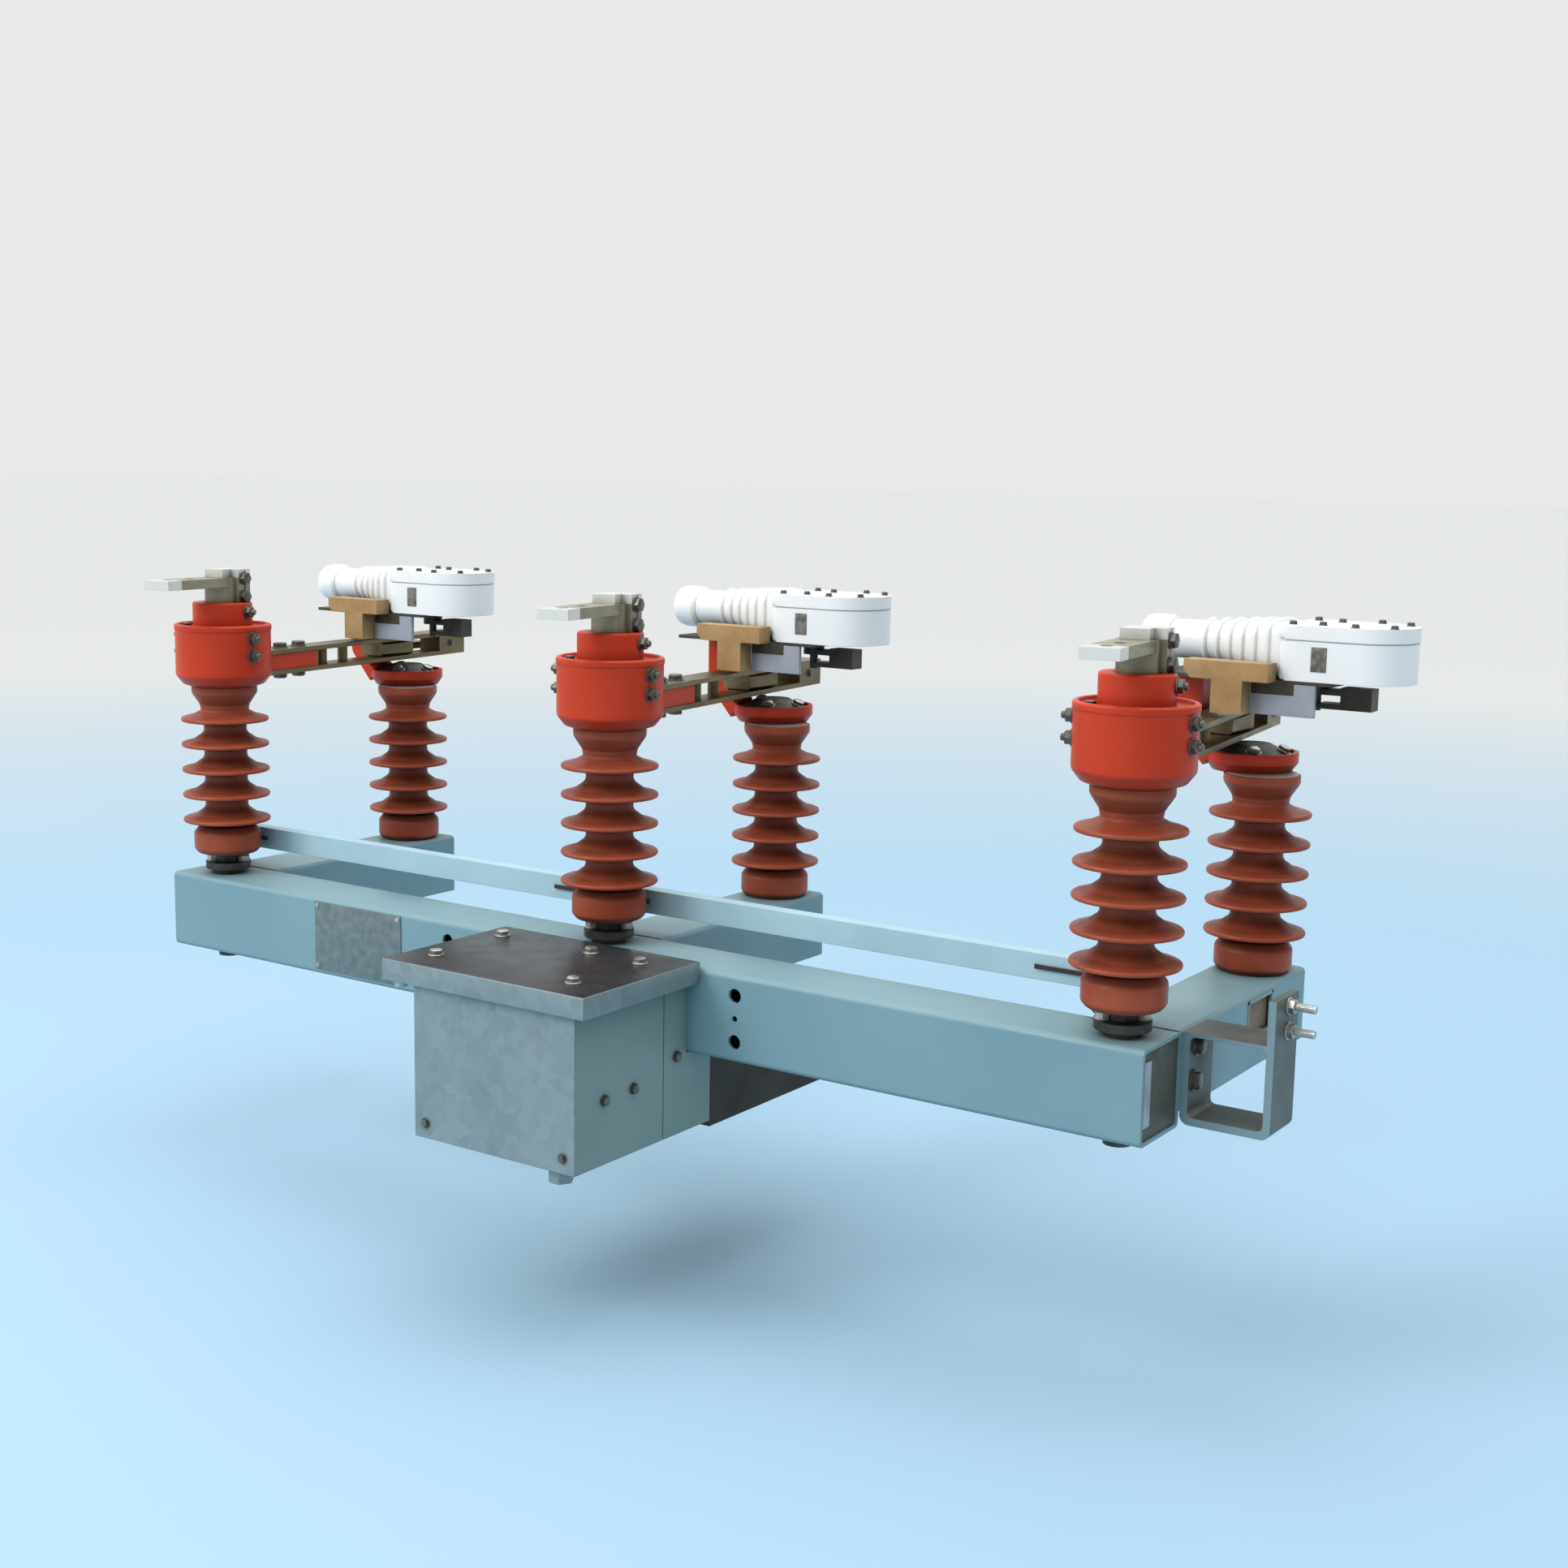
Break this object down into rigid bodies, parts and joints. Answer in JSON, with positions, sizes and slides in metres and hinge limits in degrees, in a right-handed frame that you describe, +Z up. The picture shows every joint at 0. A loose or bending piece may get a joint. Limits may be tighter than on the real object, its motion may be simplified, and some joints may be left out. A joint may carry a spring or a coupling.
{
  "type": "outdoor load break switch",
  "caption": "Outdoor three-phase load break switch: a painted beam with turning and fixed insulator posts, coupled contact blades, white interrupters and a drive box.",
  "frame": {"origin": "centre of the outer face of the mounting bracket, below its studs", "axes": "+X out of the bracket's mounting face and along the beam, +Y from the turning posts to the fixed posts, +Z up"},
  "size_m": [1.6056, 0.7542, 0.6082],
  "materials": {
    "green_paint": "satin blue-green paint on folded steel",
    "grey_paint": "dark brown-grey paint",
    "red_paint": "bright red moulded resin, satin",
    "red_silicone": "brown-red silicone rubber, satin",
    "galvanised": "galvanised steel, mottled",
    "plated": "nickel-plated copper alloy",
    "brass": "bare brass, dull",
    "white_resin": "white moulded housing, satin",
    "dark_steel": "black passivated steel",
    "grey_plate": "grey painted steel"
  },
  "bodies": {
    "frame": {"beam": "green_paint", "beam_end_plates": "green_paint", "mounting_bracket": "green_paint", "mounting_studs": "galvanised", "cross_arm_left": "green_paint", "cross_arm_centre": "green_paint", "cross_arm_right": "green_paint", "fixed_insulator_left": "red_silicone", "fixed_insulator_centre": "red_silicone", "fixed_insulator_right": "red_silicone", "contact_support_left": "plated", "contact_support_centre": "plated", "contact_support_right": "plated", "interrupter_left": "white_resin", "interrupter_centre": "white_resin", "interrupter_right": "white_resin", "contact_caps": "red_paint", "cone_plates": "dark_steel", "housing_trays": "dark_steel", "brass_brackets": "brass", "side_plates": "grey_plate", "mechanism_box": "green_paint", "mechanism_cover": "galvanised", "mechanism_lid": "grey_paint", "gearcase": "grey_paint", "cable_gland": "galvanised"},
    "turning_post_left": {"crank_shaft_left": "galvanised", "turning_insulator_left": "red_silicone", "hood_left": "red_paint", "terminal_left": "plated", "blade_left": "plated", "blade_core_left": "red_paint"},
    "turning_post_centre": {"crank_shaft_centre": "galvanised", "turning_insulator_centre": "red_silicone", "hood_centre": "red_paint", "terminal_centre": "plated", "blade_centre": "plated", "blade_core_centre": "red_paint"},
    "turning_post_right": {"crank_shaft_right": "galvanised", "turning_insulator_right": "red_silicone", "hood_right": "red_paint", "terminal_right": "plated", "blade_right": "plated", "blade_core_right": "red_paint"},
    "drive_link": {"drive_link": "galvanised"},
    "trigger_left": {"trigger_left": "dark_steel"},
    "trigger_centre": {"trigger_centre": "dark_steel"},
    "trigger_right": {"trigger_right": "dark_steel"}
  },
  "joints": [
    {"name": "turn_left", "type": "hinge", "parent": "frame", "child": "turning_post_left", "pos_m": [-1.44, -0.075, 0.0475], "axis": [0, 0, 1], "range_deg": [-80, 0]},
    {"name": "turn_centre", "type": "hinge", "parent": "frame", "child": "turning_post_centre", "pos_m": [-0.79, -0.075, 0.0475], "axis": [0, 0, 1], "range_deg": [-80, 0]},
    {"name": "turn_right", "type": "hinge", "parent": "frame", "child": "turning_post_right", "pos_m": [-0.14, -0.075, 0.0475], "axis": [0, 0, 1], "range_deg": [-80, 0]},
    {"name": "link_pin", "type": "hinge", "parent": "turning_post_centre", "child": "drive_link", "pos_m": [-0.84142, -0.01372, 0.057], "axis": [0, 0, 1], "range_deg": [0, 80]},
    {"name": "trip_left", "type": "hinge", "parent": "frame", "child": "trigger_left", "pos_m": [-1.38, 0.255, 0.3595], "axis": [0, 0, 1], "range_deg": [-25, 0], "stiffness_Nm_per_rad": 0.6, "springref_deg": 11.46},
    {"name": "trip_centre", "type": "hinge", "parent": "frame", "child": "trigger_centre", "pos_m": [-0.73, 0.255, 0.3595], "axis": [0, 0, 1], "range_deg": [-25, 0], "stiffness_Nm_per_rad": 0.6, "springref_deg": 11.46},
    {"name": "trip_right", "type": "hinge", "parent": "frame", "child": "trigger_right", "pos_m": [-0.08, 0.255, 0.3595], "axis": [0, 0, 1], "range_deg": [-25, 0], "stiffness_Nm_per_rad": 0.6, "springref_deg": 11.46}
  ],
  "couplings": [
    {"joint": "turn_left", "follows": "turn_centre", "ratio": 1},
    {"joint": "turn_right", "follows": "turn_centre", "ratio": 1},
    {"joint": "link_pin", "follows": "turn_centre", "ratio": -1}
  ]
}
